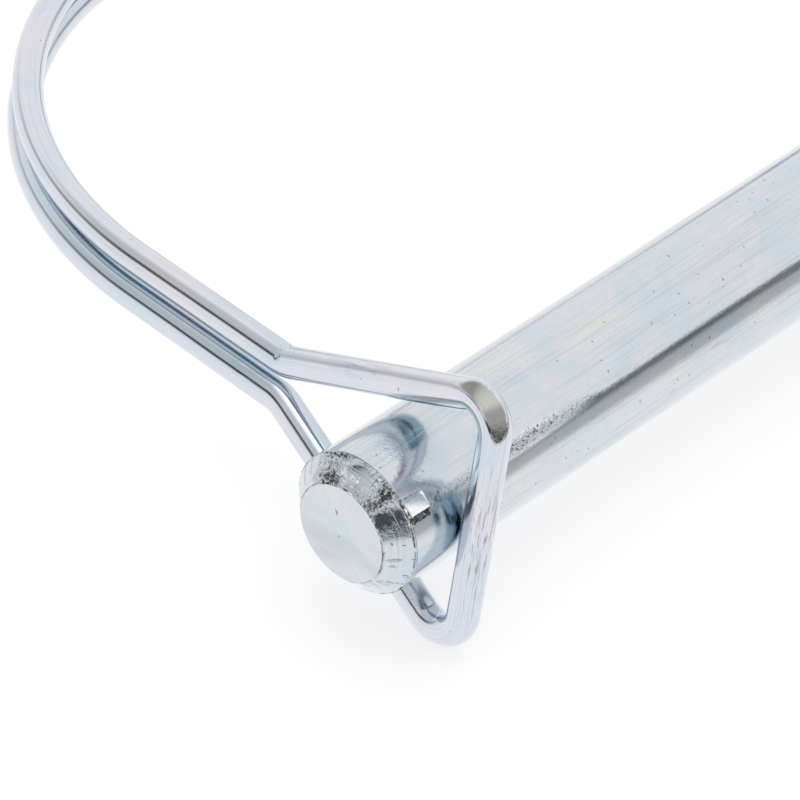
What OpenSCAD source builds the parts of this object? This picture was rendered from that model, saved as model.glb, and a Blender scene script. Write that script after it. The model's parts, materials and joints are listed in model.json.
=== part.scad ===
// Hitch pin lock.
// A solid round steel pin with a bevelled nose and two staked ears, held by one
// sprung wire bail. Both ends of the wire turn into a cross hole near the head,
// run as two stacked strands round a wide round arch, and close in a
// three-sided catch loop that springs over the nose and rests behind the ears.
// The pin axis is X, with the nose toward -X. The arch lies in the XY plane on
// the +Y side. The origin is on the pin axis, below the middle of the arch.

/* [Pin] */
// Diameter of the pin
pin_d = 10; // [6:0.5:16]
// Overall length of the pin
pin_len = 80; // [50:1:110]
// Distance from the nose face to the middle of the arch
nose_x = 41; // [25:1:60]
// Height and length of the 45 degree bevel on the nose
nose_bevel = 1.5; // [0.5:0.1:3]
// Height and length of the bevel on the head end
head_bevel = 1; // [0.3:0.1:2]

/* [Ears] */
// Angle of the first ear round the pin, from +Y towards +Z
ear_angle = 143; // [0:1:180]
// Height of an ear above the pin surface
ear_rise = 0.32; // [0.1:0.02:0.5]
// Length of an ear along the pin
ear_len = 1.9; // [1:0.1:4]
// Width of an ear round the pin
ear_w = 1.5; // [0.8:0.1:3]

/* [Wire] */
// Diameter of the bail wire
wire_d = 2.2; // [1.5:0.1:3]
// Distance from the bail plane to the centre of either strand
strand_z = 1.15; // [1.1:0.05:2]
// Sideways shift of either strand from the middle of the pair
strand_shift_x = 0.3; // [0:0.05:0.6]
// Outward shift of either strand from the middle of the pair
strand_shift_y = 0.2; // [0:0.05:0.6]

/* [Arch] */
// Centreline radius of either shoulder of the arch
arch_r = 28; // [20:0.5:45]
// Straight run at the crown of the arch, between its two shoulders
crown_run = 9; // [1:0.5:20]
// Distance from the pin axis to the far side of the arch
arch_reach = 53.6; // [40:0.1:80]
// Outward lean of each leg towards the pin
leg_lean = 3.6; // [0:0.1:10]

/* [Hinge] */
// Position of the cross hole along the pin
hinge_x = 33.5; // [20:0.5:50]
// Running clearance round the wire in the cross hole
hinge_gap = 0.08; // [0.02:0.01:0.1]
// Height of the wire above the pin axis where it turns into the cross hole
hinge_z = 7.6; // [7:0.1:9]
// Depth at which the wire ends stop, above the pin axis
hinge_end_z = 1; // [0.5:0.1:3]
// Bend radius at the turn into the cross hole
hinge_bend = 1.6; // [1.3:0.1:3]
// Distance from the pin axis at which the strands part towards the hinge
part_y = 21; // [15:0.5:26]
// Bend radius where the strands part
part_bend = 12; // [5:1:20]

/* [Catch loop] */
// Distance from the pin axis at which the loop begins
loop_y = 16; // [15:0.5:20]
// Corner of the loop where the upper strand parts from the lower one
upper_split = [-32.1, 13, 1.15];
// Upper outer corner of the loop
upper_corner = [-34.3, -6.2, 10.9];
// Lower outer corner of the loop
lower_corner = [-35.9, -6.2, -9.75];
// Corner of the loop where it joins the lower strand
lower_split = [-32.95, 12.55, -1.15];
// Bend radius at the upper outer corner
upper_corner_bend = 1.75; // [1.3:0.05:4]
// Bend radius at the lower outer corner
lower_corner_bend = 2.4; // [1.3:0.05:4]
// Bend radius at the two splits
split_bend = 3; // [1.3:0.1:6]

/* [Hidden] */
$fn = 64;
pin_r = pin_d / 2;
wire_r = wire_d / 2;
head_x = pin_len - nose_x;
mm_over = 1;
// Each straight run is a hair slimmer than the bends and seats a little way into them.
run_r = wire_r - 0.02;
run_seat = 0.05;

// Sideways place of a leg at a given distance from the pin axis.
function leg_offset(y) = arch_foot - y * tan(leg_lean);
arch_corner_x = arch_r * (1 - sin(leg_lean)) / cos(leg_lean) + crown_run / 2;
arch_foot = arch_corner_x + arch_reach * tan(leg_lean);

// One side is 1 for the upper strand and -1 for the lower strand.
function strand_point(x, y, side) = [
    x + side * strand_shift_x,
    y + side * strand_shift_y,
    side * strand_z
];

// Corners of a strand, from its end in the cross hole to the catch loop.
function strand_corners(side, split) = [
    [hinge_x, 0, side * hinge_end_z],
    [hinge_x, 0, side * hinge_z],
    strand_point(leg_offset(part_y), part_y, side),
    arch_corner(1, side),
    arch_corner(-1, side),
    loop_end(side, split)
];
function arch_corner(end, side) = strand_point(end * arch_corner_x, arch_reach, side);

// Where a strand meets the catch loop, on its straight run to the split.
function loop_end(side, split) =
    let (top = arch_corner(-1, side))
    top + (split - top) * (top[1] - loop_y) / (top[1] - split[1]);

// Unit vector, and a unit vector at right angles to a given one.
function unit(v) = v / norm(v);
function square_to(v) = unit(cross(v, abs(v[2]) < 0.9 ? [0, 0, 1] : [1, 0, 0]));

// Turning angle at a corner, and the length it takes from each neighbouring run.
function turn_at(p, i) = acos(unit(p[i] - p[i - 1]) * unit(p[i + 1] - p[i]));
function run_taken(p, r, i) =
    i == 0 || i == len(p) - 1 ? 0 : r[i] * tan(turn_at(p, i) / 2);

// Placement of a local frame with the given axes and origin.
function placed(x, y, z, o) = [
    [x[0], y[0], z[0], o[0]],
    [x[1], y[1], z[1], o[1]],
    [x[2], y[2], z[2], o[2]],
    [0, 0, 0, 1]
];

// Straight length of wire from one point to another.
module wire_run(from, to) {
    along = unit(to - from);
    side = square_to(along);
    multmatrix(placed(side, cross(along, side), along, from))
        cylinder(r = run_r, h = norm(to - from));
}

// Bend of wire at corner i of a row of corners.
module wire_bend(p, r, i) {
    into = unit(p[i] - p[i - 1]);
    out = unit(p[i + 1] - p[i]);
    inward = unit(out - (into * out) * into);
    start = p[i] - into * run_taken(p, r, i);
    multmatrix(placed(-inward, into, cross(-inward, into), start + inward * r[i]))
        rotate_extrude(angle = turn_at(p, i))
            translate([r[i], 0])
                circle(r = wire_r);
}

// Wire bent at each corner of p to the matching radius in r.
module bent_wire(p, r) {
    last = len(p) - 1;
    for (i = [0 : last - 1]) {
        along = unit(p[i + 1] - p[i]);
        start_seat = i == 0 ? 0 : run_taken(p, r, i) - run_seat;
        end_seat = i + 1 == last ? 0 : run_taken(p, r, i + 1) - run_seat;
        wire_run(p[i] + along * start_seat, p[i + 1] - along * end_seat);
    }
    for (i = [1 : len(p) - 2])
        wire_bend(p, r, i);
}

// Bevelled round bar of the pin, turned about X.
module bar() {
    rotate([0, 90, 0])
        rotate_extrude()
            polygon([
                [0, -nose_x],
                [pin_r - nose_bevel, -nose_x],
                [pin_r, -nose_x + nose_bevel],
                [pin_r, head_x - head_bevel],
                [pin_r - head_bevel, head_x],
                [0, head_x]
            ]);
}

// Staked ear: a short lip of metal raised just behind the nose bevel.
module ear(angle) {
    rotate([angle, 0, 0])
        intersection() {
            translate([-nose_x + nose_bevel, pin_r - mm_over, -ear_w / 2])
                cube([ear_len, mm_over * 2, ear_w]);
            translate([-nose_x, 0, 0])
                rotate([0, 90, 0])
                    cylinder(r = pin_r + ear_rise, h = ear_len + nose_bevel + mm_over);
        }
}

// NODE shaft
module shaft() {
    color([0.74, 0.76, 0.77])
        difference() {
            union() {
                bar();
                ear(ear_angle);
                ear(ear_angle + 180);
            }
            translate([hinge_x, 0, -pin_d])
                cylinder(r = wire_r + hinge_gap, h = 2 * pin_d);
        }
}

// NODE upper_strand
module upper_strand() {
    color([0.78, 0.80, 0.82])
        bent_wire(strand_corners(1, upper_split), [0, hinge_bend, part_bend, arch_r, arch_r, 0]);
}

// NODE lower_strand
module lower_strand() {
    color([0.72, 0.75, 0.78])
        bent_wire(strand_corners(-1, lower_split), [0, hinge_bend, part_bend, arch_r, arch_r, 0]);
}

// NODE catch_loop
module catch_loop() {
    color([0.76, 0.79, 0.81])
        bent_wire(
            [
                loop_end(1, upper_split),
                upper_split,
                upper_corner,
                lower_corner,
                lower_split,
                loop_end(-1, lower_split)
            ],
            [0, split_bend, upper_corner_bend, lower_corner_bend, split_bend, 0]
        );
}

shaft();
upper_strand();
lower_strand();
catch_loop();
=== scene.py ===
import json
import math
import bmesh
import bpy
from mathutils import Vector, Matrix, noise

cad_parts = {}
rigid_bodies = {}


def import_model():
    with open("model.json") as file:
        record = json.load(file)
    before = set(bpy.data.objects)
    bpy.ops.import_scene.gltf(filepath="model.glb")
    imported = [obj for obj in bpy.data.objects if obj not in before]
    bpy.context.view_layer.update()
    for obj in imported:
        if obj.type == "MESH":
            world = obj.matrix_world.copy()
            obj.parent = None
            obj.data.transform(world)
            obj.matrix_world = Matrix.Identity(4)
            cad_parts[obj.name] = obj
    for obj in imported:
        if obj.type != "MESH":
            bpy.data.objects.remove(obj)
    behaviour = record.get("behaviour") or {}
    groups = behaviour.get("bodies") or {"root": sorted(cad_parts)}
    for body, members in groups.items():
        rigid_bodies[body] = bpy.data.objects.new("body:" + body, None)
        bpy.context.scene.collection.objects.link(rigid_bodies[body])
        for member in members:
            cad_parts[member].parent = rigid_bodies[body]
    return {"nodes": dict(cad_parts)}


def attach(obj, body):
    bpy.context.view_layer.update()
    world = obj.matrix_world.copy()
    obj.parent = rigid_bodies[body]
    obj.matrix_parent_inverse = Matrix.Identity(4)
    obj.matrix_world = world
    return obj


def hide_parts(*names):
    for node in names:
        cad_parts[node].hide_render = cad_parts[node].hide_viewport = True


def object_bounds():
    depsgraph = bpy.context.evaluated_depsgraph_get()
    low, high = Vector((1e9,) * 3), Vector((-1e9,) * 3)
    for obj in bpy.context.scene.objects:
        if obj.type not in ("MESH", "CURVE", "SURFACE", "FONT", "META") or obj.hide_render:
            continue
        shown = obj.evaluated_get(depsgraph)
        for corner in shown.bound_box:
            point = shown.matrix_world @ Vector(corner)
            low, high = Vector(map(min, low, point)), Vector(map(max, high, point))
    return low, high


mm = 0.001

for leftover in list(bpy.data.objects):   # the start-up cube, lamp and camera go
    bpy.data.objects.remove(leftover, do_unlink=True)

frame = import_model()
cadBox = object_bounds()
print("frame loaded, nodes:", sorted(frame["nodes"]))


# Small helpers shared by the pin and the wire
def smoothRamp(low, high, value):
    t = min(1.0, max(0.0, (value - low) / (high - low)))
    return t * t * (3 - 2 * t)


def humpAt(centre, reach, value):
    return 1.0 - smoothRamp(0.0, reach, abs(value - centre))


def bandAt(edges, value):   # fades in between the first two edges and out between the last two
    inStart, inEnd, outStart, outEnd = edges
    return smoothRamp(inStart, inEnd, value) * (1 - smoothRamp(outStart, outEnd, value))


def angleGap(a, b):
    return (a - b + 180) % 360 - 180


def roughness(point, grain):
    return noise.noise(Vector(point) * grain)


def ringFaces(rings, count):   # four-sided faces between neighbouring rings of points
    faces = []
    for i in range(rings - 1):
        for k in range(count):
            n = (k + 1) % count
            faces.append((i * count + k, i * count + n, (i + 1) * count + n, (i + 1) * count + k))
    return faces


def newPiece(name, points, faces):
    mesh = bpy.data.meshes.new(name)
    mesh.from_pydata(points, [], faces)
    piece = bpy.data.objects.new(name, mesh)
    bpy.context.scene.collection.objects.link(piece)
    return piece


def addMasks(mesh, layPlaces, masks):   # where each point lies on the worked metal, and the worn areas, painted shade and painted highlight masks
    lay = mesh.attributes.new("layPlace", "FLOAT_VECTOR", "POINT")
    lay.data.foreach_set("vector", [c for place in layPlaces for c in place])
    for maskName, values in masks.items():
        mask = mesh.attributes.new(maskName, "FLOAT", "POINT")
        mask.data.foreach_set("value", values)


def finishPiece(piece, body, nodes, material, sharpAngle):
    mesh = piece.data
    mesh.materials.clear()
    mesh.materials.append(material)
    mesh.shade_smooth()
    mesh.set_sharp_from_angle(angle=math.radians(sharpAngle))
    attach(piece, body)
    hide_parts(*nodes)


def setOut(nodeFrame, row):   # the nodes of a frame stand in a row
    for place, node in enumerate(row):
        node.parent = nodeFrame
        node.location = (220 * place, 0)


# Zinc plated steel, one make-up for the drawn bar and for the spring wire, with painted shade and a
# painted highlight mixed into its colour
def zincSteel(name, look):
    material = bpy.data.materials.new(name)
    material.use_nodes = True
    nodes = material.node_tree.nodes
    links = material.node_tree.links
    nodes.clear()

    placeFrame = nodes.new("NodeFrame")
    placeFrame.label = "where it lies on the metal"
    placeFrame.location = (-3700, 900)

    layPlace = nodes.new("ShaderNodeAttribute")
    layPlace.label = "place along the drawing lines"
    layPlace.attribute_name = "layPlace"

    solidPlace = nodes.new("ShaderNodeTexCoord")
    solidPlace.label = "place in the piece"

    tornArea = nodes.new("ShaderNodeAttribute")
    tornArea.label = "where the tool tore the metal"
    tornArea.attribute_name = "torn"

    scuffArea = nodes.new("ShaderNodeAttribute")
    scuffArea.label = "where the plating is scuffed"
    scuffArea.attribute_name = "scuffed"

    flatAndHighlightArea = nodes.new("ShaderNodeAttribute")
    # on the wire this marks the die-pressed flat, coloured darker; on the pin it marks the ear tops, where
    # a painted highlight goes
    flatAndHighlightArea.label = "die flat on the wire, painted highlight on the ear tops"
    flatAndHighlightArea.attribute_name = "flatAndHighlight"

    # painted shade: blue shade painted inside the wire loop and between the strands, and where the loop's
    # reflection and shadow fall on the pin
    blueShadeArea = nodes.new("ShaderNodeAttribute")
    blueShadeArea.label = "where blue shade is painted"
    blueShadeArea.attribute_name = "blueShade"

    for place, node in enumerate((layPlace, solidPlace, tornArea, scuffArea, flatAndHighlightArea, blueShadeArea)):
        node.parent = placeFrame
        node.location = (0, -200 * place)

    # drawing lines
    lineFrame = nodes.new("NodeFrame")
    lineFrame.label = "drawing lines"
    lineFrame.location = (-3300, 1300)

    fineStretch = nodes.new("ShaderNodeMapping")
    fineStretch.label = "fine lines, stretched along"
    fineStretch.inputs["Scale"].default_value = look["fineLineScale"]

    fineLines = nodes.new("ShaderNodeTexNoise")
    fineLines.label = "fine drawing lines"

    coarseStretch = nodes.new("ShaderNodeMapping")
    coarseStretch.label = "broad lines, stretched along"
    coarseStretch.inputs["Scale"].default_value = look["coarseLineScale"]

    coarseLines = nodes.new("ShaderNodeTexNoise")
    coarseLines.label = "broad drawing lines"

    allLines = nodes.new("ShaderNodeMath")
    allLines.label = "fine and broad lines together"
    allLines.operation = "MULTIPLY_ADD"
    allLines.inputs[1].default_value = 0.6

    setOut(lineFrame, (fineStretch, fineLines, coarseStretch, coarseLines, allLines))

    # plating tint
    tintFrame = nodes.new("NodeFrame")
    tintFrame.label = "plating tint"
    tintFrame.location = (-3300, 800)

    tintCloud = nodes.new("ShaderNodeTexNoise")
    tintCloud.label = "drifts of passivation colour"
    tintCloud.inputs["Distortion"].default_value = 0.6

    tintColours = nodes.new("ShaderNodeValToRGB")
    tintColours.label = "blue, grey, lilac, straw"
    stops = tintColours.color_ramp.elements
    stops[0].position = 0.30
    stops[0].color = look["tints"][0]
    stops[1].position = 0.72
    stops[1].color = look["tints"][3]
    middle = stops.new(0.46)
    middle.color = look["tints"][1]
    upper = stops.new(0.58)
    upper.color = look["tints"][2]

    grainNoise = nodes.new("ShaderNodeTexNoise")
    grainNoise.label = "crystal grain of the plating"

    setOut(tintFrame, (tintCloud, tintColours, grainNoise))

    # pits and scratches
    flawFrame = nodes.new("NodeFrame")
    flawFrame.label = "pits and scratches"
    flawFrame.location = (-3300, 300)

    pitNoise = nodes.new("ShaderNodeTexNoise")
    pitNoise.label = "scattered pits"

    pitCut = nodes.new("ShaderNodeMapRange")
    pitCut.label = "only the deepest spots"

    scratchStretch = nodes.new("ShaderNodeMapping")
    scratchStretch.label = "scratches run askew"
    scratchStretch.inputs["Rotation"].default_value = look["scratchTurn"]
    scratchStretch.inputs["Scale"].default_value = look["scratchScale"]

    scratchNoise = nodes.new("ShaderNodeTexNoise")
    scratchNoise.label = "scratch field"

    scratchGap = nodes.new("ShaderNodeMath")
    scratchGap.label = "distance from a scratch"
    scratchGap.operation = "SUBTRACT"
    scratchGap.inputs[1].default_value = 0.62

    scratchSize = nodes.new("ShaderNodeMath")
    scratchSize.label = "either side of it"
    scratchSize.operation = "ABSOLUTE"

    scratchCut = nodes.new("ShaderNodeMapRange")
    scratchCut.label = "hairline scratches"

    row = (pitNoise, pitCut, scratchStretch, scratchNoise,
           scratchGap, scratchSize, scratchCut)
    setOut(flawFrame, row)

    # torn metal
    tornFrame = nodes.new("NodeFrame")
    tornFrame.label = "torn metal"
    tornFrame.location = (-3300, -200)

    tornNoise = nodes.new("ShaderNodeTexNoise")
    tornNoise.label = "ragged tearing"
    tornNoise.inputs["Distortion"].default_value = 1.5

    tornDepth = nodes.new("ShaderNodeMapRange")
    tornDepth.label = "deeper where it tore most"

    tornHeight = nodes.new("ShaderNodeMath")
    tornHeight.label = "tearing only where it tore"
    tornHeight.operation = "MULTIPLY"

    tornSpread = nodes.new("ShaderNodeMath")
    tornSpread.label = "more of it where it tore most"
    tornSpread.operation = "MULTIPLY_ADD"
    tornSpread.inputs[1].default_value = 0.35

    # painted shade: dark specks where the metal tore stand in for the shade and dark reflections in its
    # rough facets
    tornShade = nodes.new("ShaderNodeMapRange")
    tornShade.label = "painted shade in the tears"

    setOut(tornFrame, (tornNoise, tornDepth, tornHeight, tornSpread, tornShade))

    # scuffs
    scuffFrame = nodes.new("NodeFrame")
    scuffFrame.label = "scuffs"
    scuffFrame.location = (-3300, -700)

    scuffBreak = nodes.new("ShaderNodeMapRange")
    scuffBreak.label = "scuffs break along the lines"

    scuffStretch = nodes.new("ShaderNodeMapping")
    scuffStretch.label = "scuff streaks"
    scuffStretch.inputs["Scale"].default_value = look["scuffScale"]

    scuffNoise = nodes.new("ShaderNodeTexNoise")
    scuffNoise.label = "scuff streak noise"

    scuffAmount = nodes.new("ShaderNodeMath")
    scuffAmount.label = "scuffs only where it rubbed"
    scuffAmount.operation = "MULTIPLY"

    setOut(scuffFrame, (scuffBreak, scuffStretch, scuffNoise, scuffAmount))

    # colour
    colourFrame = nodes.new("NodeFrame")
    colourFrame.label = "colour"
    colourFrame.location = (-1500, 800)

    lineTone = nodes.new("ShaderNodeMapRange")
    lineTone.label = "lines darken a little"

    lineColour = nodes.new("ShaderNodeMix")
    lineColour.label = "tint with lines"

    grainTone = nodes.new("ShaderNodeMapRange")
    grainTone.label = "grain lightens and darkens"

    grainColour = nodes.new("ShaderNodeMix")
    grainColour.label = "tint with grain"

    # painted blue shade mixed into the colour
    blueShadeColour = nodes.new("ShaderNodeMix")
    blueShadeColour.label = "painted blue shade"

    # painted highlight on the pin's ear tops; on the wire the die flat is coloured darker
    flatAndHighlightMix = nodes.new("ShaderNodeMix")
    flatAndHighlightMix.label = "darker die flat, painted ear highlight"

    # painted shade mixed into the colour where the metal tore
    tornShadeColour = nodes.new("ShaderNodeMix")
    tornShadeColour.label = "tears darkened by painted shade"

    scuffColour = nodes.new("ShaderNodeMix")
    scuffColour.label = "brown scuffs"

    pitColour = nodes.new("ShaderNodeMix")
    pitColour.label = "dark pits"

    row = (lineTone, lineColour, grainTone, grainColour, blueShadeColour,
           flatAndHighlightMix, tornShadeColour, scuffColour, pitColour)
    setOut(colourFrame, row)

    # gloss
    glossFrame = nodes.new("NodeFrame")
    glossFrame.label = "gloss"
    glossFrame.location = (-1500, 100)

    lineGloss = nodes.new("ShaderNodeMapRange")
    lineGloss.label = "lines scatter the shine"

    tornGloss = nodes.new("ShaderNodeMath")
    tornGloss.label = "torn metal is duller"
    tornGloss.operation = "MULTIPLY_ADD"
    tornGloss.inputs[1].default_value = look["tornGloss"]

    cloudGloss = nodes.new("ShaderNodeMath")
    cloudGloss.label = "shine drifts with the plating"
    cloudGloss.operation = "MULTIPLY_ADD"
    cloudGloss.inputs[1].default_value = look["cloudGloss"]

    setOut(glossFrame, (lineGloss, tornGloss, cloudGloss))

    # relief
    reliefFrame = nodes.new("NodeFrame")
    reliefFrame.label = "relief"
    reliefFrame.location = (-1500, -400)

    lineRelief = nodes.new("ShaderNodeBump")
    lineRelief.label = "drawing line relief"
    lineRelief.inputs["Distance"].default_value = look["lineRelief"]

    grainRelief = nodes.new("ShaderNodeBump")
    grainRelief.label = "grain relief"
    grainRelief.inputs["Distance"].default_value = look["grainRelief"]

    scratchRelief = nodes.new("ShaderNodeBump")
    scratchRelief.label = "scratch relief"
    scratchRelief.invert = True
    scratchRelief.inputs["Distance"].default_value = look["scratchRelief"]

    tornRelief = nodes.new("ShaderNodeBump")
    tornRelief.label = "tearing relief"
    tornRelief.inputs["Distance"].default_value = look["tornRelief"]

    setOut(reliefFrame, (lineRelief, grainRelief, scratchRelief, tornRelief))

    steel = nodes.new("ShaderNodeBsdfPrincipled")
    steel.label = "zinc plated steel"
    steel.location = (1000, 300)
    steel.inputs["Metallic"].default_value = 1.0

    surface = nodes.new("ShaderNodeOutputMaterial")
    surface.label = "surface"
    surface.location = (1300, 300)

    noiseSettings = (   # scale, detail and roughness
        (fineLines, 1.0, 3.0, 0.55),
        (coarseLines, 1.0, 3.0, 0.55),
        (tintCloud, look["tintScale"], 3.0, 0.55),
        (grainNoise, look["grainScale"], 2.0, 0.55),
        (pitNoise, look["pitScale"], 1.5, 0.4),
        (scratchNoise, 1.0, 2.0, 0.5),
        (tornNoise, look["tornScale"], 3.0, 0.6),
        (scuffNoise, 1.0, 4.0, 0.6),
    )
    for node, scale, detail, breakUp in noiseSettings:
        node.inputs["Scale"].default_value = scale
        node.inputs["Detail"].default_value = detail
        node.inputs["Roughness"].default_value = breakUp

    rangeSettings = (   # from, to, low result, high result
        (pitCut, look["pitLevel"], look["pitLevel"] + 0.06, 0.0, 1.0),
        (scratchCut, look["scratchWidth"], 0.0, 0.0, 1.0),
        (tornDepth, 0.10, 0.90, 0.0, 1.0),
        (tornShade, 0.73, 0.86, 0.0, 1.0),
        (scuffBreak, 0.53, 0.64, 0.0, 1.0),
        (lineTone, 0.80, 1.0, 0.0, look["lineTone"]),
        (grainTone, 0.3, 0.7, 0.0, look["grainTone"]),
        (lineGloss, 0.5, 1.1, *look["gloss"]),
    )
    for node, *limits in rangeSettings:
        for socket, limit in zip(("From Min", "From Max", "To Min", "To Max"), limits):
            node.inputs[socket].default_value = limit
    for node in (pitCut, tornDepth):
        node.interpolation_type = "SMOOTHSTEP"

    colourSettings = (
        (lineColour, "lineColour"),
        (grainColour, "grainColour"),
        (blueShadeColour, "blueShadeColour"),
        (flatAndHighlightMix, "flatAndHighlightColour"),
        (tornShadeColour, "tornShadeColour"),
        (scuffColour, "scuffColour"),
        (pitColour, "pitColour"),
    )
    for node, colourName in colourSettings:
        node.data_type = "RGBA"
        node.inputs[7].default_value = look[colourName]

    links.new(layPlace.outputs["Vector"], fineStretch.inputs["Vector"])
    links.new(layPlace.outputs["Vector"], coarseStretch.inputs["Vector"])
    links.new(layPlace.outputs["Vector"], scratchStretch.inputs["Vector"])
    links.new(layPlace.outputs["Vector"], scuffStretch.inputs["Vector"])
    links.new(fineStretch.outputs["Vector"], fineLines.inputs["Vector"])
    links.new(coarseStretch.outputs["Vector"], coarseLines.inputs["Vector"])
    links.new(coarseLines.outputs["Fac"], allLines.inputs[0])
    links.new(fineLines.outputs["Fac"], allLines.inputs[2])
    links.new(solidPlace.outputs["Object"], tintCloud.inputs["Vector"])
    links.new(solidPlace.outputs["Object"], grainNoise.inputs["Vector"])
    links.new(solidPlace.outputs["Object"], pitNoise.inputs["Vector"])
    links.new(solidPlace.outputs["Object"], tornNoise.inputs["Vector"])
    links.new(tintCloud.outputs["Fac"], tintColours.inputs["Fac"])
    links.new(pitNoise.outputs["Fac"], pitCut.inputs["Value"])
    links.new(scratchStretch.outputs["Vector"], scratchNoise.inputs["Vector"])
    links.new(scratchNoise.outputs["Fac"], scratchGap.inputs[0])
    links.new(scratchGap.outputs["Value"], scratchSize.inputs[0])
    links.new(scratchSize.outputs["Value"], scratchCut.inputs["Value"])
    links.new(tornNoise.outputs["Fac"], tornHeight.inputs[0])
    links.new(tornArea.outputs["Fac"], tornDepth.inputs["Value"])
    links.new(tornDepth.outputs["Result"], tornHeight.inputs[1])
    links.new(tornArea.outputs["Fac"], tornSpread.inputs[0])
    links.new(tornNoise.outputs["Fac"], tornSpread.inputs[2])
    links.new(tornSpread.outputs["Value"], tornShade.inputs["Value"])
    links.new(scuffStretch.outputs["Vector"], scuffNoise.inputs["Vector"])
    links.new(scuffNoise.outputs["Fac"], scuffBreak.inputs["Value"])
    links.new(scuffBreak.outputs["Result"], scuffAmount.inputs[0])
    links.new(scuffArea.outputs["Fac"], scuffAmount.inputs[1])

    links.new(allLines.outputs["Value"], lineTone.inputs["Value"])
    links.new(tintColours.outputs["Color"], lineColour.inputs[6])
    links.new(lineTone.outputs["Result"], lineColour.inputs[0])
    links.new(grainNoise.outputs["Fac"], grainTone.inputs["Value"])
    links.new(grainTone.outputs["Result"], grainColour.inputs[0])
    links.new(lineColour.outputs[2], grainColour.inputs[6])
    links.new(flatAndHighlightArea.outputs["Fac"], flatAndHighlightMix.inputs[0])
    links.new(blueShadeArea.outputs["Fac"], blueShadeColour.inputs[0])
    links.new(grainColour.outputs[2], blueShadeColour.inputs[6])
    links.new(blueShadeColour.outputs[2], flatAndHighlightMix.inputs[6])
    links.new(tornShade.outputs["Result"], tornShadeColour.inputs[0])
    links.new(flatAndHighlightMix.outputs[2], tornShadeColour.inputs[6])
    links.new(scuffAmount.outputs["Value"], scuffColour.inputs[0])
    links.new(tornShadeColour.outputs[2], scuffColour.inputs[6])
    links.new(pitCut.outputs["Result"], pitColour.inputs[0])
    links.new(scuffColour.outputs[2], pitColour.inputs[6])
    links.new(pitColour.outputs[2], steel.inputs["Base Color"])

    links.new(allLines.outputs["Value"], lineGloss.inputs["Value"])
    links.new(tornArea.outputs["Fac"], tornGloss.inputs[0])
    links.new(lineGloss.outputs["Result"], tornGloss.inputs[2])
    links.new(tintCloud.outputs["Fac"], cloudGloss.inputs[0])
    links.new(tornGloss.outputs["Value"], cloudGloss.inputs[2])
    links.new(cloudGloss.outputs["Value"], steel.inputs["Roughness"])

    links.new(allLines.outputs["Value"], lineRelief.inputs["Height"])
    links.new(grainNoise.outputs["Fac"], grainRelief.inputs["Height"])
    links.new(lineRelief.outputs["Normal"], grainRelief.inputs["Normal"])
    links.new(scratchCut.outputs["Result"], scratchRelief.inputs["Height"])
    links.new(grainRelief.outputs["Normal"], scratchRelief.inputs["Normal"])
    links.new(tornHeight.outputs["Value"], tornRelief.inputs["Height"])
    links.new(scratchRelief.outputs["Normal"], tornRelief.inputs["Normal"])
    links.new(tornRelief.outputs["Normal"], steel.inputs["Normal"])
    links.new(steel.outputs["BSDF"], surface.inputs["Surface"])
    return material


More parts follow.
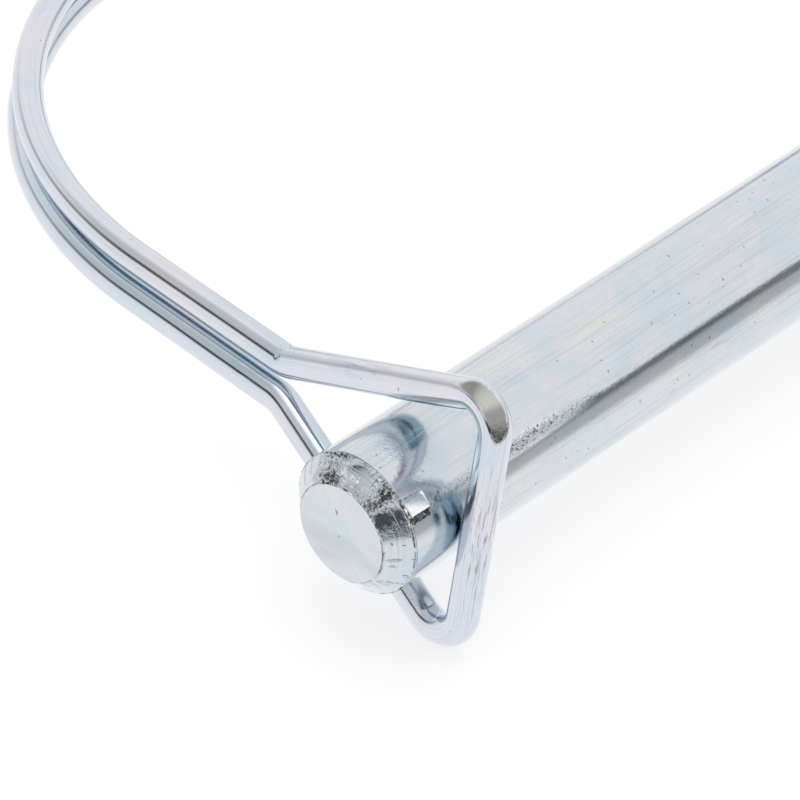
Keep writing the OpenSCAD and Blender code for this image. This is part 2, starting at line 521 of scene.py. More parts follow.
# The pin: a drawn bar with a turned nose, two staked ears and a cross hole
pin = {
    # shape, in millimetres
    "radius": 5.0,
    "noseX": -41.0,
    "headX": 39.0,
    "noseBevel": 1.5,
    "headBevel": 1.0,
    "edgeRound": 0.07,           # how much each turned edge is broken
    "holeX": 33.5,
    "holeRadius": 1.18,
    "holeMouth": 1.32,
    "mouthHeights": (5.02, 4.75),   # the mouth narrows between these
    "drillSides": 64,
    "drillFlare": (0.4, 5.6),    # how much wider the drill is than the mouth, and how high up
    "earAngles": (143.0, 323.0),
    "earTop": 0.32,              # how far an ear stands out
    "earStart": -39.5,
    "earEnd": -37.6,
    "earFade": (-0.2, 0.1, -0.16, 0.06),   # before and after its start, and its end
    "earSlope": (0.62, 0.36),    # share of its height at the nose end, and how much more at the other
    "earLead": 11.5,             # degrees before the cut where it begins to climb
    "earRun": 12.0,
    "earDrop": (0.8, 4.2),       # degrees past the cut over which it falls away
    "shearBand": (0.6, 1.6, 7.0, 9.5),
    "earCleft": (0.75, -12.2, 1.5),
    # point spacing, in millimetres and in degrees
    "faceStep": 0.12,
    "bevelSteps": 34,
    "earStep": 0.06,
    "holeStep": 0.25,
    "holeSpan": 2.2,             # the hole's step is used this far either side of it
    "barStep": 1.2,
    "headStep": 0.3,
    "earSpan": (0.8, 18),        # and the ear's spacing this far past it, along and round
    "earTurn": 0.5,
    "barTurn": 1.5,
    # hollows, each with its depth and grain, and where they stop short of the edge
    "faceHollow": (0.05, 0.55),
    "faceRipple": (0.015, 2.6),
    "faceEdge": (3.1, 3.5),
    "headHollow": (0.03, 0.8),
    "headEdge": (3.4, 3.9),
    "barWave": 0.012,
    "centreDip": (0.02, 0.015),      # at the middle of the nose and of the head
    "earHighlightLift": 0.06,             # an ear this high gets the full painted highlight on its top
    "plainTear": {"face": 0.03, "headFace": 0.08, "centre": 0.05},
    # tears on the bevel: how torn, the angle round the bar, and how far they reach
    "firstTear": (0.60, 62, 34),
    "firstCore": (0.25, 72, 22),
    "outerTear": (0.3, 75, 55),
    "secondTear": (0.9, 121, 21),
    "secondTail": (0.24, 146, 18),
    "tearWander": 9,             # degrees
    "tearDepth": 0.075,
    "tearDepthFrom": (0.25, 0.8),
    "nickTear": 0.42,
    "nickLevels": (0.16, 0.40),
    "nickFree": (1.0, 143, 26),
    "burrs": ((0.0, 0.07, 1.3), (1.0, 0.10, 1.2)),   # place across the bevel, reach, how torn
    "ridge": (0.035, 95, 60),
    "ridgeBand": (0.42, 0.50, 0.62, 0.95),
    "behindEar": (0.3, 146, 14),
    "behindBand": (-37.9, -37.5, -37.2, -36.6),
    "rimTear": (0.35, 0.4),      # all round, and more near the tears
    "rimCentres": ((1.0, 70, 40), (1.0, 127, 30)),
    # worn patches on the bar: how worn, x, reach along, angle, reach round; the tears in them get painted
    # shade specks, and the blue patches are painted reflection and shadow of the catch loop, so there the
    # first column is how strong the painted shade is
    "tornPatches": ((0.72, -29.5, 12.0, 143, 11), (0.30, -37.4, 2.4, 90, 30)),
    "scuffPatches": (            # the catch loop rubs on three of them, the wire ends on the others
        (1.0, -33.0, 0.9, 67, 9),
        (0.5, -34.0, 1.6, 176, 14),
        (0.35, -33.5, 1.4, 325, 20),
        (0.5, 33.5, 2.6, 90, 34),
        (0.5, 33.5, 2.6, 270, 34),
    ),
    # painted reflection and shadow of the catch loop on the pin, in blue
    "loopShadePatches": ((0.55, -35.5, 2.4, 100, 45), (0.55, -35.5, 2.4, 160, 30)),
    # plating, with painted shade and painted highlight colours
    "fineLineScale": (120, 5200, 5200),
    "coarseLineScale": (40, 1300, 1300),
    "tintScale": 300,
    "tints": (
        (0.60, 0.68, 0.755, 1),
        (0.655, 0.70, 0.735, 1),
        (0.70, 0.70, 0.75, 1),
        (0.725, 0.73, 0.705, 1),
    ),
    "grainScale": 3800,
    "grainTone": 0.22,
    "grainColour": (0.53, 0.59, 0.62, 1),
    "lineTone": 0.45,
    "lineColour": (0.47, 0.52, 0.55, 1),
    "pitScale": 2500,
    "pitLevel": 0.73,
    "pitColour": (0.30, 0.30, 0.29, 1),
    # painted shade colour, blue, for the loop's reflection and shadow on the pin
    "blueShadeColour": (0.375, 0.54, 0.62, 1),
    "scratchTurn": (0.0, 0.03, 0.06),
    "scratchScale": (22, 620, 620),
    "scratchWidth": 0.0022,
    "scratchRelief": 0.000008,
    "tornScale": 3300,
    # painted shade colour for the tears, the sheared ear sides and the torn patches on the bar
    "tornShadeColour": (0.055, 0.064, 0.048, 1),
    "tornGloss": 0.04,
    "tornRelief": 0.00040,
    "scuffScale": (300, 2600, 2600),
    "scuffColour": (0.20, 0.14, 0.10, 1),
    # painted highlight: the ear tops are coloured near white, brighter than the bar
    "flatAndHighlightColour": (0.93, 0.94, 0.94, 1),
    "gloss": (0.07, 0.17),
    "cloudGloss": 0.05,
    "lineRelief": 0.0000035,
    "grainRelief": 0.0000055,
}


def wornAt(zone, angle):
    worn, centre, reach = zone
    return worn * humpAt(centre, reach, angle)


def patchAt(patch, x, angle):
    worn, middleX, reachX, middleAngle, reachAngle = patch
    return worn * humpAt(middleX, reachX, x) * humpAt(middleAngle, reachAngle, angle)


def hollowAt(hollow, seed, radius, c, s):
    depth, grain = hollow
    return depth * (0.5 + roughness((radius * c, radius * s, seed), grain))


def edgeArc(first, steps):   # sine and cosine at each step of 45 degrees round a broken edge
    for k in range(steps + 1):
        t = math.radians(first + 45 * k / steps)
        yield k, math.sin(t), math.cos(t)


def pinStations():   # rows of (zone, x, radius) from the nose centre to the head centre
    r, nose, head = pin["radius"], pin["noseX"], pin["headX"]
    bevel, headBevel, ease = pin["noseBevel"], pin["headBevel"], pin["edgeRound"]
    faceR, step = r - bevel, pin["faceStep"]
    rows = [("face", nose, k * step) for k in range(1, int((faceR - ease) / step) + 1)]
    for k, sine, cosine in edgeArc(0, 6):   # between face and bevel
        zone = "face" if k < 3 else "bevel"
        rows.append((zone, nose + ease * (1 - cosine), faceR - ease + ease * 1.15 * sine))
    start = nose + ease * 0.5, faceR + ease * 0.35
    end = nose + bevel - ease * 0.5, r - ease * 0.35
    for k in range(1, pin["bevelSteps"]):
        t = k / pin["bevelSteps"]
        rows.append(("bevel", start[0] + (end[0] - start[0]) * t, start[1] + (end[1] - start[1]) * t))
    for k, sine, cosine in edgeArc(45, 5):   # between bevel and bar
        zone = "bevel" if k < 2 else "bar"
        x = nose + bevel - ease * 0.5 + ease * (sine - 0.7071)
        rows.append((zone, x, r - ease * 0.7 + ease * 0.7 * sine))
    x = nose + bevel + ease * 0.3
    while x < pin["earEnd"] + pin["earSpan"][0]:
        x += pin["earStep"]
        rows.append(("bar", x, r))
    while x < head - headBevel - ease - pin["barStep"]:
        x += pin["holeStep"] if abs(x - pin["holeX"]) < pin["holeSpan"] else pin["barStep"]
        rows.append(("bar", x, r))
    rows.append(("bar", head - headBevel - ease, r))
    for k, sine, cosine in edgeArc(0, 6):   # between bar and head bevel
        rows.append(("bar", head - headBevel - ease * 0.5 + ease * sine, r - ease * (1 - cosine)))
    for k in range(1, 12):
        t = k / 12
        x = head - headBevel + ease * 0.4 + (headBevel - ease * 0.8) * t
        rows.append(("headBevel", x, r - ease * 0.3 - (headBevel - ease * 0.6) * t))
    for k, sine, cosine in edgeArc(45, 5):   # between head bevel and head
        zone = "headBevel" if k < 3 else "headFace"
        x = head - ease * 0.7 + ease * 0.7 * sine
        rows.append((zone, x, r - headBevel - ease + ease * cosine * 1.2))
    faceR, step = r - headBevel - ease, pin["headStep"]
    return rows + [("headFace", head, faceR - k * step) for k in range(1, int(faceR / step))]


def pinAngles():   # finer round the ears than elsewhere
    angles, a = [], 0.0
    while a < 359.9:
        angles.append(a)
        nearEar = min(abs(angleGap(a + 0.5, ear)) for ear in pin["earAngles"])
        a += pin["earTurn"] if nearEar < pin["earSpan"][1] else pin["barTurn"]
    return angles


def earHeight(x, angle):   # a chisel cut lifts a lip: flat on one side, sheared off on the other
    start, end, fade = pin["earStart"], pin["earEnd"], pin["earFade"]
    best, side = 0.0, 0.0
    for ear in pin["earAngles"]:
        gap = angleGap(angle, ear)
        if abs(gap) > 20:
            continue
        along = bandAt((start + fade[0], start + fade[1], end + fade[2], end + fade[3]), x)
        top = pin["earTop"] * (pin["earSlope"][0] + pin["earSlope"][1] * (x - start) / (end - start))
        rise = top * max(0.0, gap + pin["earLead"]) / pin["earRun"]
        drop = 1 - smoothRamp(*pin["earDrop"], gap + 0.8 * roughness((x * 3, gap * 0.3, 4.0), 1.0))
        best = max(best, min(top, rise) * drop * along)
        side = max(side, max(bandAt(pin["shearBand"], gap), wornAt(pin["earCleft"], gap)) * along)
    return best, side


def bevelWear(zone, x, radius, angle, c, s):   # how torn it is, and how much metal is gone
    up = (radius - pin["radius"]) / pin["noseBevel"] + 1   # 0 at the inner edge, 1 at the outer
    tear = 0.1
    if zone == "bevel":
        drift = pin["tearWander"] * roughness((up * 2.0, angle * 0.05, 3.0), 1.0)
        first = wornAt(pin["firstTear"], angle + drift) + wornAt(pin["firstCore"], angle)
        first *= 0.8 + 0.5 * humpAt(0.2, 0.4, up)
        first += humpAt(0.95, 0.2, up) * wornAt(pin["outerTear"], angle)
        second = wornAt(pin["secondTear"], angle + drift) + wornAt(pin["secondTail"], angle)
        tear = min(1.0, max(first, second))
    nicks = smoothRamp(*pin["nickLevels"], roughness((angle * 0.16, up * 1.5, 9.0), 1.0))
    tear = max(tear, 0.05, pin["nickTear"] * nicks * (1 - wornAt(pin["nickFree"], angle)))
    if zone == "bevel":   # burrs on both edges
        broken = 0.5 + roughness((radius * c, radius * s, 5.0), 1.6)
        for place, reach, worn in pin["burrs"]:
            tear = max(tear, broken * humpAt(place, reach, up) * worn)
    wave = roughness((radius * c, radius * s, x), 0.8)
    ragged = roughness((radius * c, radius * s, x), 4.5)
    lost = -pin["tearDepth"] * smoothRamp(*pin["tearDepthFrom"], tear) * (0.5 + ragged)
    lost -= pin["barWave"] * (0.5 + wave)
    if zone == "bevel":   # a faint ridge half way up
        lost -= bandAt(pin["ridgeBand"], up) * wornAt(pin["ridge"], angle)
    return tear, lost


def barWear(x, angle, sheared):   # how torn and how scuffed the round of the bar is
    tear = max([sheared] + [patchAt(patch, x, angle) for patch in pin["tornPatches"]])
    tear = max(tear, bandAt(pin["behindBand"], x) * wornAt(pin["behindEar"], angle))
    edge = pin["noseX"] + pin["noseBevel"]
    rim = 1 - smoothRamp(edge, edge + 0.25, x)
    nearTear = max(wornAt(zone, angle) for zone in pin["rimCentres"])
    tear = max(tear, rim * (pin["rimTear"][0] + pin["rimTear"][1] * nearTear))
    scuff = sum(patchAt(patch, x, angle) for patch in pin["scuffPatches"])
    return tear, scuff


def buildPin(material):
    rows, angles = pinStations(), pinAngles()
    count = len(angles)
    points, layPlaces = [], []
    torn, scuffed, flatAndHighlight, blueShade = [], [], [], []
    for zone, x, radius in rows:
        for angle in angles:
            c, s = math.cos(math.radians(angle)), math.sin(math.radians(angle))
            tear, scuff, flatAndHighlightShare, shadeShare = 0.0, 0.0, 0.0, 0.0
            dx, dr = 0.0, 0.0   # how far the point moves along and outward
            if zone == "face":
                inside = 1 - smoothRamp(*pin["faceEdge"], radius)
                dx = hollowAt(pin["faceHollow"], 2.0, radius, c, s) * inside
                dx += hollowAt(pin["faceRipple"], 7.0, radius, c, s) * inside
                lay = (radius * c, radius * s * 0.08, 0.0)
                tear = pin["plainTear"][zone]
            elif zone in ("bevel", "headBevel"):
                tear, dr = bevelWear(zone, x, radius, angle, c, s)
                lay = (radius * c, (x + radius) * 0.8, radius * s * 0.03)
            elif zone == "headFace":
                lay = (radius * c, radius * s, 0.0)
                inside = 1 - smoothRamp(*pin["headEdge"], radius)
                dx = -hollowAt(pin["headHollow"], 11.0, radius, c, s) * inside
                tear = pin["plainTear"][zone]
            else:
                lift, sheared = earHeight(x, angle)
                lay = (x, radius * c, radius * s)
                dr = lift - pin["barWave"] * (0.5 + roughness((x * 0.12, c * 2.2, s * 2.2), 1.0))
                # the sheared side of each ear and the torn patches get painted shade through the tear mask
                tear, scuff = barWear(x, angle, sheared)
                # painted highlight on the top of each ear, not on its sheared side
                flatAndHighlightShare = min(1.0, lift / pin["earHighlightLift"]) * (1 - sheared)
                # painted blue shade where the loop's reflection and shadow fall on the pin
                shadeShare = max(patchAt(patch, x, angle) for patch in pin["loopShadePatches"])
            reach = radius + dr
            points.append(Vector((x + dx, reach * c, reach * s)) * mm)
            layPlaces.append(Vector(lay) * mm)
            torn.append(min(1.0, tear))
            scuffed.append(min(1.0, scuff))
            flatAndHighlight.append(flatAndHighlightShare)
            blueShade.append(shadeShare)
    faces = ringFaces(len(rows), count)
    last = (len(rows) - 1) * count
    noseDip, headDip = pin["centreDip"]
    tips = (pin["noseX"] + noseDip, 0, False), (pin["headX"] - headDip, last, True)
    for centre, ring, atHead in tips:
        points.append(Vector((centre, 0, 0)) * mm)
        layPlaces.append(Vector((0, 0, 0)))
        torn.append(pin["plainTear"]["centre"])
        for mask in (scuffed, flatAndHighlight, blueShade):
            mask.append(0.0)
        tip = len(points) - 1
        for j in range(count):
            k = (j + 1) % count
            faces.append((tip, ring + j, ring + k) if atHead else (tip, ring + k, ring + j))
    piece = newPiece("pinBar", points, faces)
    masks = {"torn": torn, "scuffed": scuffed, "flatAndHighlight": flatAndHighlight, "blueShade": blueShade}
    addMasks(piece.data, layPlaces, masks)
    drillPin(piece)
    finishPiece(piece, "pin", ("shaft",), material, 50)


def drillPin(piece):   # cuts the cross hole, with its mouths eased
    mouthTop, mouthFoot = pin["mouthHeights"]
    flare, flareTop = pin["drillFlare"]
    profile = [(pin["holeMouth"] + flare, flareTop), (pin["holeMouth"], mouthTop)]
    profile.append((pin["holeRadius"], mouthFoot))
    profile += [(r, -z) for r, z in reversed(profile)]
    sides = pin["drillSides"]
    points = []
    for r, z in profile:
        for k in range(sides):
            t = 2 * math.pi * k / sides
            points.append(Vector((pin["holeX"] + r * math.cos(t), r * math.sin(t), z)) * mm)
    faces = [(a, d, c, b) for a, b, c, d in ringFaces(len(profile), sides)]
    faces.append(tuple(range(sides)))
    faces.append(tuple(reversed(range((len(profile) - 1) * sides, len(profile) * sides))))
    drill = newPiece("drill", points, faces)
    cut = piece.modifiers.new("crossHole", "BOOLEAN")
    cut.operation = "DIFFERENCE"
    cut.solver = "EXACT"
    cut.object = drill
    bpy.context.view_layer.update()
    drilled = bpy.data.meshes.new_from_object(piece.evaluated_get(bpy.context.evaluated_depsgraph_get()))
    piece.modifiers.clear()
    weld = bmesh.new()   # the cut leaves a few points on top of each other
    weld.from_mesh(drilled)
    bmesh.ops.remove_doubles(weld, verts=weld.verts, dist=0.0001 * mm)
    bmesh.ops.dissolve_degenerate(weld, edges=weld.edges, dist=0.0001 * mm)
    weld.to_mesh(drilled)
    weld.free()
    old = piece.data
    piece.data = drilled
    drilled.name = "pinBar"
    bpy.data.meshes.remove(old)
    bpy.data.objects.remove(drill, do_unlink=True)


# The bail: one length of spring wire, bent double
wire = {
    # shape, in millimetres
    "radius": 1.1,
    "strandZ": 1.15,
    "shift": (0.3, 0.2),
    "archRadius": 28.0,
    "archReach": 53.6,
    "legLean": 3.6,
    "crownRun": 9.0,
    "hingeX": 33.5,
    "hingeZ": 7.6,
    "hingeEndZ": 1.0,
    "hingeBend": 1.6,
    "partY": 21.0,
    "partBend": 12.0,
    "upperSplit": (-32.1, 13.0, 1.15),
    "upperCorner": (-34.3, -6.2, 10.9),
    "lowerCorner": (-35.9, -6.2, -9.75),
    "lowerSplit": (-32.95, 12.55, -1.15),
    "splitBend": 3.0,
    "upperCornerBend": 1.75,
    "lowerCornerBend": 2.4,
    "endRound": (0.18, 0.16),        # how far back from its end it narrows, and by what share
    # point spacing
    "sides": 72,
    "runStep": 0.5,
    "tightStep": 0.09,
    "wideStep": 0.6,
    # marks of making, each with the side of the wire it is on, then where the painted blue shade goes
    "pressSide": (-0.40, -0.45, 0.80),
    "pressReach": (2.0, 1.7),        # before and after the upper corner
    "pressDepth": 0.24,              # share of the radius
    "nickSide": (-0.78, -0.10, 0.62),
    "nickReach": 0.42,
    "nickDepth": 0.10,
    "dentReach": 0.3,
    "upperDent": (-6.6, (-0.3, 0, 0.95), 0.05),   # distance from the split, side, depth
    "lowerDent": (3.0, (-0.8, 0, 0.5), 0.04),
    "sectionDrift": 0.006,
    "rubSide": (-0.5, -0.86, 0.0),
    "rub": (0.9, 8.5),               # how scuffed, and how far along either way
    "scrapeSide": (-0.35, 0, 0.93),
    "scrape": (0.6, 9.0, 5.0),       # how scuffed, distance from the split, reach
    "loopBlend": (-4.0, 3.0),        # the painted blue shade turns to the inside of the loop over this
    "blueShadeShares": (0.4, 0.28),     # on the loop and upper strand, and on the lower strand
    # plating, with painted shade colours
    "fineLineScale": (90, 7000, 7000),
    "coarseLineScale": (30, 1900, 1900),
    "tintScale": 150,
    "tints": (
        (0.62, 0.70, 0.78, 1),
        (0.68, 0.72, 0.785, 1),
        (0.73, 0.72, 0.785, 1),
        (0.755, 0.73, 0.755, 1),
    ),
    "grainScale": 5200,
    "grainTone": 0.12,
    "grainColour": (0.58, 0.63, 0.69, 1),
    "lineTone": 0.5,
    "lineColour": (0.52, 0.56, 0.62, 1),
    "pitScale": 3000,
    "pitLevel": 0.74,
    "pitColour": (0.34, 0.33, 0.32, 1),
    # painted shade colour, blue, for the inside of the loop and between the strands
    "blueShadeColour": (0.36, 0.545, 0.625, 1),
    "scratchTurn": (0.0, 0.01, 0.02),
    "scratchScale": (20, 1100, 1100),
    "scratchWidth": 0.002,
    "scratchRelief": 0.000006,
    "tornScale": 3000,
    # painted shade colour for the tears on the die flat of the wire
    "tornShadeColour": (0.20, 0.19, 0.16, 1),
    "tornGloss": 0.15,
    "tornRelief": 0.00006,
    "scuffScale": (500, 6500, 6500),
    "scuffColour": (0.27, 0.25, 0.23, 1),
    # the die flat is coloured darker than the rest of the wire
    "flatAndHighlightColour": (0.31, 0.31, 0.29, 1),
    "gloss": (0.07, 0.15),
    "cloudGloss": 0.03,
    "lineRelief": 0.0000022,
    "grainRelief": 0.0000010,
}


def wireCorners():   # corners of the whole wire with the bend radius at each
    lean = math.radians(wire["legLean"])
    cornerX = wire["archRadius"] * (1 - math.sin(lean)) / math.cos(lean) + wire["crownRun"] / 2
    footX = cornerX + (wire["archReach"] - wire["partY"]) * math.tan(lean)

    def strandPoint(x, y, side):
        return Vector((x + side * wire["shift"][0], y + side * wire["shift"][1], side * wire["strandZ"]))

    def half(side, split):
        return [
            (Vector((wire["hingeX"], 0, side * wire["hingeEndZ"])), 0),
            (Vector((wire["hingeX"], 0, side * wire["hingeZ"])), wire["hingeBend"]),
            (strandPoint(footX, wire["partY"], side), wire["partBend"]),
            (strandPoint(cornerX, wire["archReach"], side), wire["archRadius"]),
            (strandPoint(-cornerX, wire["archReach"], side), wire["archRadius"]),
            (Vector(split), wire["splitBend"]),
        ]

    corners = half(1, wire["upperSplit"])
    corners.append((Vector(wire["upperCorner"]), wire["upperCornerBend"]))
    corners.append((Vector(wire["lowerCorner"]), wire["lowerCornerBend"]))
    return corners + half(-1, wire["lowerSplit"])[::-1]


def wirePath(corners):   # points down the middle of the wire, close together in the bends
    path = []

    def taken(i):
        if i in (0, len(corners) - 1):
            return 0.0
        into = (corners[i][0] - corners[i - 1][0]).normalized()
        out = (corners[i + 1][0] - corners[i][0]).normalized()
        return corners[i][1] * math.tan(into.angle(out) / 2)

    marks = {}   # which point is the middle of each bend
    for i in range(len(corners) - 1):
        along = (corners[i + 1][0] - corners[i][0]).normalized()
        start = corners[i][0] + along * taken(i)
        end = corners[i + 1][0] - along * taken(i + 1)
        steps = max(2, int((end - start).length / wire["runStep"]))
        path += [start.lerp(end, k / steps) for k in range(steps + 1)]
        if i + 1 < len(corners) - 1:
            radius = corners[i + 1][1]
            out = (corners[i + 2][0] - corners[i + 1][0]).normalized()
            turn = along.angle(out)
            inward = (out - along * along.dot(out)).normalized()
            middle = end + inward * radius
            steps = max(6, int(turn * radius / (wire["tightStep"] if radius < 6 else wire["wideStep"])))
            marks[i + 1] = len(path) + steps // 2
            for k in range(1, steps):
                t = turn * k / steps
                path.append(middle + (along * math.sin(t) - inward * math.cos(t)) * radius)
    return path, marks


def buildWire(material):
    corners = wireCorners()
    path, marks = wirePath(corners)
    ends = len(path) - 1
    travel = [0.0]
    for a, b in zip(path, path[1:]):
        travel.append(travel[-1] + (b - a).length)
    whole = travel[-1]
    tangents = [(path[min(i + 1, ends)] - path[max(i - 1, 0)]).normalized() for i in range(ends + 1)]
    side = tangents[0].orthogonal().normalized()
    sides = [side]
    for b in tangents[1:]:   # the section is carried along without twisting
        side = (side - b * side.dot(b)).normalized()
        sides.append(side)
    r, count = wire["radius"], wire["sides"]
    upperSplit, upperCorner, lowerCorner, lowerSplit = (travel[marks[i]] for i in (5, 6, 7, 8))
    pressSide = Vector(wire["pressSide"]).normalized()
    nickSide = Vector(wire["nickSide"]).normalized()
    rubSide, scrapeSide = Vector(wire["rubSide"]), Vector(wire["scrapeSide"])
    splitDents = (upperSplit, wire["upperDent"]), (whole - upperSplit, wire["lowerDent"])
    dents = [(split + away, Vector(toward), depth) for split, (away, toward, depth) in splitDents]
    loopMiddle = (corners[5][0] + corners[6][0] + corners[7][0] + corners[8][0]) / 4
    rubMiddle = (upperCorner + lowerCorner) / 2
    roundLength, roundShare = wire["endRound"]
    points, layPlaces = [], []
    torn, scuffed, flatAndHighlight, blueShade = [], [], [], []
    for i, middle in enumerate(path):
        across, over = sides[i], tangents[i].cross(sides[i])
        endGap = min(travel[i], whole - travel[i])
        shrink = 1.0
        if endGap <= roundLength:
            shrink = 1 - roundShare + roundShare * math.sqrt(max(0.0, 1 - (1 - endGap / roundLength) ** 2))
        pressOut = (pressSide - tangents[i] * pressSide.dot(tangents[i])).normalized()
        # painted blue shade on the sides facing the inside of the loop and the other strand
        loopShare = smoothRamp(*wire["loopBlend"], min(travel[i] - upperSplit, lowerSplit - travel[i]))
        inside = (loopMiddle - middle).normalized() * loopShare
        inside += Vector((0, 0, -1 if middle.z > 0 else 1)) * (1 - loopShare)
        shadeShare = wire["blueShadeShares"][0 if loopShare > 0 or middle.z > 0 else 1]
        outerSide = Vector((0.0, 0.0, 1.0)).cross(tangents[i])
        here = travel[i] - upperCorner
        pressLength = wire["pressReach"][0 if here < 0 else 1]
        nick = humpAt(0.0, wire["nickReach"], travel[i] - upperSplit)
        rub = wire["rub"][0] * humpAt(rubMiddle, wire["rub"][1], travel[i])
        scrape = wire["scrape"][0] * humpAt(upperSplit + wire["scrape"][1], wire["scrape"][2], travel[i])
        for k in range(count):
            t = 2 * math.pi * k / count
            out = across * math.cos(t) + over * math.sin(t)
            drift = noise.noise(Vector((travel[i] * 0.22, math.cos(t) * 1.3, math.sin(t) * 1.3)))
            reach = r * shrink - wire["sectionDrift"] * (0.5 + drift)
            flatAndHighlightShare = 0.0
            facing = out.dot(pressOut)
            if abs(here) < pressLength and facing > 0.05:   # flat left by the bending die
                flat = r * (1 - wire["pressDepth"] * (1 - (here / pressLength) ** 2))
                if reach * facing > flat:
                    flatAndHighlightShare = smoothRamp(0.0, 0.05, reach - flat / facing)
                    reach = flat / facing
            facing = out.dot(nickSide)
            if nick > 0 and facing > 0:
                reach -= wire["nickDepth"] * nick * smoothRamp(0.7, 0.98, facing)
            for spot, toward, depth in dents:
                dent = humpAt(0.0, wire["dentReach"], travel[i] - spot)
                if dent > 0 and out.dot(toward) > 0:
                    reach -= depth * dent * smoothRamp(0.5, 0.95, out.dot(toward))
            away = out.dot(outerSide) * 0.2 + (1 - out.dot(rubSide)) * 0.9
            scuff = rub * humpAt(0.0, 0.75, away) + scrape * humpAt(0.0, 0.5, 1 - out.dot(scrapeSide))
            points.append((middle + out * reach) * mm)
            layPlaces.append(Vector((travel[i], r * math.cos(t), r * math.sin(t))) * mm)
            # more painted shade specks toward the lower end of the die flat
            torn.append(flatAndHighlightShare * (0.2 + 0.5 * smoothRamp(0.1, 1.3, here)))
            scuffed.append(min(1.0, scuff))
            flatAndHighlight.append(flatAndHighlightShare)
            blueShade.append(shadeShare * smoothRamp(0.15, 1.0, out.dot(inside)))
    faces = ringFaces(len(path), count)
    faces.append(tuple(range(count - 1, -1, -1)))
    faces.append(tuple(ends * count + k for k in range(count)))
    piece = newPiece("bailWire", points, faces)
    masks = {"torn": torn, "scuffed": scuffed, "flatAndHighlight": flatAndHighlight, "blueShade": blueShade}
    addMasks(piece.data, layPlaces, masks)
    nodes = ("upper_strand", "lower_strand", "catch_loop")
    finishPiece(piece, "bail", nodes, material, 40)


print("making the steel")
pinSteel = zincSteel("zincBar", pin)
wireSteel = zincSteel("zincWire", wire)
print("turning the pin")
buildPin(pinSteel)
print("bending the wire")
buildWire(wireSteel)


# Floor, light and camera
studio = {
    "floorHalf": 3.0,
    "floorColour": (0.40, 0.40, 0.405, 1),
    "floorGlow": 0.66,
    "white": (1.0, 1.0, 1.0, 1),
    "gapColour": (0.018, 0.034, 0.048, 1),
    # bearing round the tent, then foot, top, depth at the top and depth below;
    # foot and top are the sine of their height, plus heightShift to keep them above zero
    "opening": (
        (0.000, (0.50, 0.76, 0.80, 0.80)),
        (0.078, (0.22, 0.78, 0.96, 0.96)),
        (0.128, (0.14, 0.70, 0.96, 0.96)),
        (0.250, (0.16, 0.56, 0.92, 0.75)),
        (0.361, (0.08, 0.525, 0.90, 0.45)),
        (0.450, (0.22, 0.46, 0.55, 0.40)),
        (0.520, (0.30, 0.40, 0.00, 0.00)),
        (0.700, (0.36, 0.54, 0.00, 0.00)),
        (0.760, (0.38, 0.56, 0.36, 0.36)),
        (0.840, (0.50, 0.76, 0.62, 0.62)),
        (0.908, (0.60, 0.83, 1.00, 1.00)),
        (1.000, (0.50, 0.76, 0.80, 0.80)),
    ),
    "heightShift": 0.3,
    "footSoft": 0.08,
    "topSoft": 0.02,
    "darkestReach": 0.20,
    "floorBounce": 1.04,
    "tentGlow": 1.0,
    "topGlow": 1.8,
    "dullSide": (-0.50, 0.45, 0.74),
    "dullGlow": 0.66,
    "cameraPlace": (-0.240169, -0.162226, 0.220763),
    "cameraRight": (0.66933, -0.7389, 0.07761),
    "cameraUp": (0.42963, 0.47016, 0.77096),
    "lens": 243.35,
}


def floorPaint():
    material = bpy.data.materials.new("paleFloor")
    material.use_nodes = True
    nodes = material.node_tree.nodes
    links = material.node_tree.links
    nodes.clear()
    paint = nodes.new("ShaderNodeBsdfPrincipled")
    paint.label = "matt white"
    paint.location = (0, 0)
    paint.inputs["Base Color"].default_value = studio["floorColour"]
    paint.inputs["Roughness"].default_value = 1.0
    paint.inputs["Specular IOR Level"].default_value = 0.0
    paint.inputs["Emission Color"].default_value = studio["white"]
    paint.inputs["Emission Strength"].default_value = studio["floorGlow"]
    surface = nodes.new("ShaderNodeOutputMaterial")
    surface.label = "surface"
    surface.location = (300, 0)
    links.new(paint.outputs["BSDF"], surface.inputs["Surface"])
    return material


def layFloor(lowest):
    half = studio["floorHalf"]
    corners = [(-half, -half, lowest), (half, -half, lowest), (half, half, lowest), (-half, half, lowest)]
    floor = newPiece("floor", corners, [(0, 1, 2, 3)])
    floor.data.materials.append(floorPaint())
    floor.visible_glossy = False


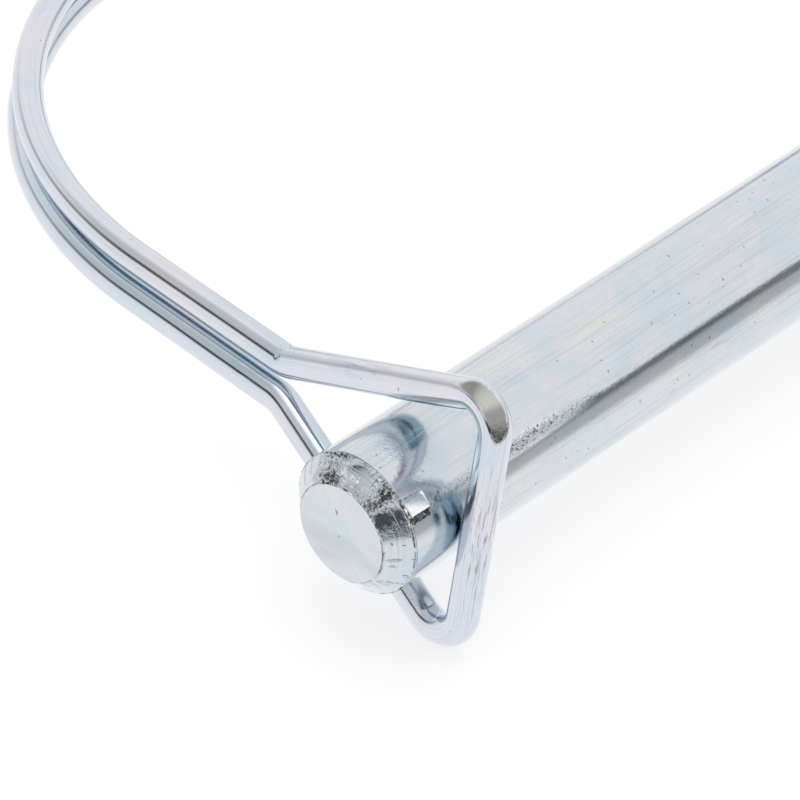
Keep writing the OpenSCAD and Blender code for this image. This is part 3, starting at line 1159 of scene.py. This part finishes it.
def lightTent():   # an even white tent with a dark opening low down, widest at the front
    world = bpy.data.worlds.new("lightTent")
    bpy.context.scene.world = world
    world.use_nodes = True
    nodes = world.node_tree.nodes
    links = world.node_tree.links
    nodes.clear()

    aimFrame = nodes.new("NodeFrame")
    aimFrame.label = "direction"
    aimFrame.location = (-2900, 200)

    aim = nodes.new("ShaderNodeTexCoord")
    aim.label = "direction of the light"

    parts = nodes.new("ShaderNodeSeparateXYZ")
    parts.label = "height of the light"

    bearing = nodes.new("ShaderNodeTexGradient")
    bearing.label = "bearing of the light"
    bearing.gradient_type = "RADIAL"

    setOut(aimFrame, (aim, parts, bearing))

    gapFrame = nodes.new("NodeFrame")
    gapFrame.label = "dark opening"
    gapFrame.location = (-2100, 200)

    gapByBearing = nodes.new("ShaderNodeValToRGB")
    gapByBearing.label = "foot, top and depth by bearing"
    stops = gapByBearing.color_ramp.elements
    while len(stops) > 1:
        stops.remove(stops[-1])
    stops[0].position = studio["opening"][0][0]
    stops[0].color = studio["opening"][0][1]
    for position, edges in studio["opening"][1:]:
        stops.new(position).color = edges

    gapParts = nodes.new("ShaderNodeSeparateColor")
    gapParts.label = "foot, top, depth"

    aboveFoot = nodes.new("ShaderNodeMath")
    aboveFoot.label = "height above the foot"
    aboveFoot.operation = "SUBTRACT"

    aboveTop = nodes.new("ShaderNodeMath")
    aboveTop.label = "height above the top"
    aboveTop.operation = "SUBTRACT"

    footEdge = nodes.new("ShaderNodeMapRange")
    footEdge.label = "soft foot edge"

    topEdge = nodes.new("ShaderNodeMapRange")
    topEdge.label = "crisp top edge"

    nearTop = nodes.new("ShaderNodeMapRange")
    nearTop.label = "darkest just under the top"

    upDown = nodes.new("ShaderNodeMath")
    upDown.label = "between foot and top"
    upDown.operation = "MULTIPLY"

    gap = nodes.new("ShaderNodeMath")
    gap.label = "the opening"
    gap.operation = "MULTIPLY"

    row = (gapByBearing, gapParts, aboveFoot, aboveTop, footEdge,
           topEdge, nearTop, upDown, gap)
    setOut(gapFrame, row)

    toneFrame = nodes.new("NodeFrame")
    toneFrame.label = "tent brightness"
    toneFrame.location = (-200, 200)

    overhead = nodes.new("ShaderNodeMapRange")
    overhead.label = "brighter overhead"

    dullSide = nodes.new("ShaderNodeVectorMath")
    dullSide.label = "toward the dull side"
    dullSide.operation = "DOT_PRODUCT"
    dullSide.inputs[1].default_value = studio["dullSide"]

    dulling = nodes.new("ShaderNodeMapRange")
    dulling.label = "a little less light there"

    bounce = nodes.new("ShaderNodeMapRange")
    bounce.label = "light thrown up by the floor"

    sideGlow = nodes.new("ShaderNodeMath")
    sideGlow.label = "dull side and floor bounce"
    sideGlow.operation = "MULTIPLY"

    strength = nodes.new("ShaderNodeMath")
    strength.label = "brightness"
    strength.operation = "MULTIPLY"

    tentColour = nodes.new("ShaderNodeMix")
    tentColour.label = "white tent, dark opening"
    tentColour.data_type = "RGBA"
    tentColour.inputs[6].default_value = studio["white"]
    tentColour.inputs[7].default_value = studio["gapColour"]

    setOut(toneFrame, (overhead, dullSide, dulling, bounce, sideGlow, strength, tentColour))

    glow = nodes.new("ShaderNodeBackground")
    glow.label = "tent glow"
    glow.location = (1500, 200)

    sky = nodes.new("ShaderNodeOutputWorld")
    sky.label = "sky"
    sky.location = (1700, 200)

    zero, footSoft, topSoft = -studio["heightShift"], studio["footSoft"], studio["topSoft"]
    darkest = zero - studio["darkestReach"]
    rangeSettings = (   # from, to, low result, high result
        (footEdge, zero - footSoft, zero + footSoft, 0.0, 1.0),
        (topEdge, zero + topSoft, zero - topSoft, 0.0, 1.0),
        (nearTop, darkest, zero - studio["darkestReach"] / 2, 0.0, 1.0),
        (overhead, 0.82, 0.97, studio["tentGlow"], studio["topGlow"]),
        (dulling, 0.74, 1.0, 1.0, studio["dullGlow"]),
        (bounce, 0.0, -0.5, 1.0, studio["floorBounce"]),
    )
    for node, *limits in rangeSettings:
        for socket, limit in zip(("From Min", "From Max", "To Min", "To Max"), limits):
            node.inputs[socket].default_value = limit
    for node in (footEdge, topEdge, overhead, dulling, bounce):
        node.interpolation_type = "SMOOTHSTEP"

    links.new(aim.outputs["Generated"], parts.inputs["Vector"])
    links.new(aim.outputs["Generated"], bearing.inputs["Vector"])
    links.new(aim.outputs["Generated"], dullSide.inputs[0])
    links.new(bearing.outputs["Fac"], gapByBearing.inputs["Fac"])
    links.new(gapByBearing.outputs["Color"], gapParts.inputs["Color"])
    links.new(parts.outputs["Z"], aboveFoot.inputs[0])
    links.new(gapParts.outputs["Red"], aboveFoot.inputs[1])
    links.new(parts.outputs["Z"], aboveTop.inputs[0])
    links.new(gapParts.outputs["Green"], aboveTop.inputs[1])
    links.new(aboveFoot.outputs["Value"], footEdge.inputs["Value"])
    links.new(aboveTop.outputs["Value"], topEdge.inputs["Value"])
    links.new(aboveTop.outputs["Value"], nearTop.inputs["Value"])
    links.new(footEdge.outputs["Result"], upDown.inputs[0])
    links.new(topEdge.outputs["Result"], upDown.inputs[1])
    links.new(gapByBearing.outputs["Alpha"], nearTop.inputs["To Min"])
    links.new(gapParts.outputs["Blue"], nearTop.inputs["To Max"])
    links.new(upDown.outputs["Value"], gap.inputs[0])
    links.new(nearTop.outputs["Result"], gap.inputs[1])
    links.new(parts.outputs["Z"], overhead.inputs["Value"])
    links.new(dullSide.outputs["Value"], dulling.inputs["Value"])
    links.new(overhead.outputs["Result"], strength.inputs[0])
    links.new(parts.outputs["Z"], bounce.inputs["Value"])
    links.new(dulling.outputs["Result"], sideGlow.inputs[0])
    links.new(bounce.outputs["Result"], sideGlow.inputs[1])
    links.new(sideGlow.outputs["Value"], strength.inputs[1])
    links.new(gap.outputs["Value"], tentColour.inputs[0])
    links.new(tentColour.outputs[2], glow.inputs["Color"])
    links.new(strength.outputs["Value"], glow.inputs["Strength"])
    links.new(glow.outputs["Background"], sky.inputs["Surface"])


def placeCamera():
    cameraData = bpy.data.cameras.new("viewCamera")
    camera = bpy.data.objects.new("viewCamera", cameraData)
    bpy.context.scene.collection.objects.link(camera)
    right, up = Vector(studio["cameraRight"]).normalized(), Vector(studio["cameraUp"])
    back = right.cross(up).normalized()
    up = back.cross(right)
    turned = Matrix((right, up, back)).transposed().to_4x4()
    camera.matrix_world = Matrix.Translation(Vector(studio["cameraPlace"])) @ turned
    cameraData.sensor_width = 36.0
    cameraData.lens = studio["lens"]
    cameraData.clip_start = 0.01
    bpy.context.scene.camera = camera


print("laying the floor, light and camera")
layFloor(cadBox[0][2])
lightTent()
placeCamera()
bpy.context.scene.view_settings.view_transform = "Standard"
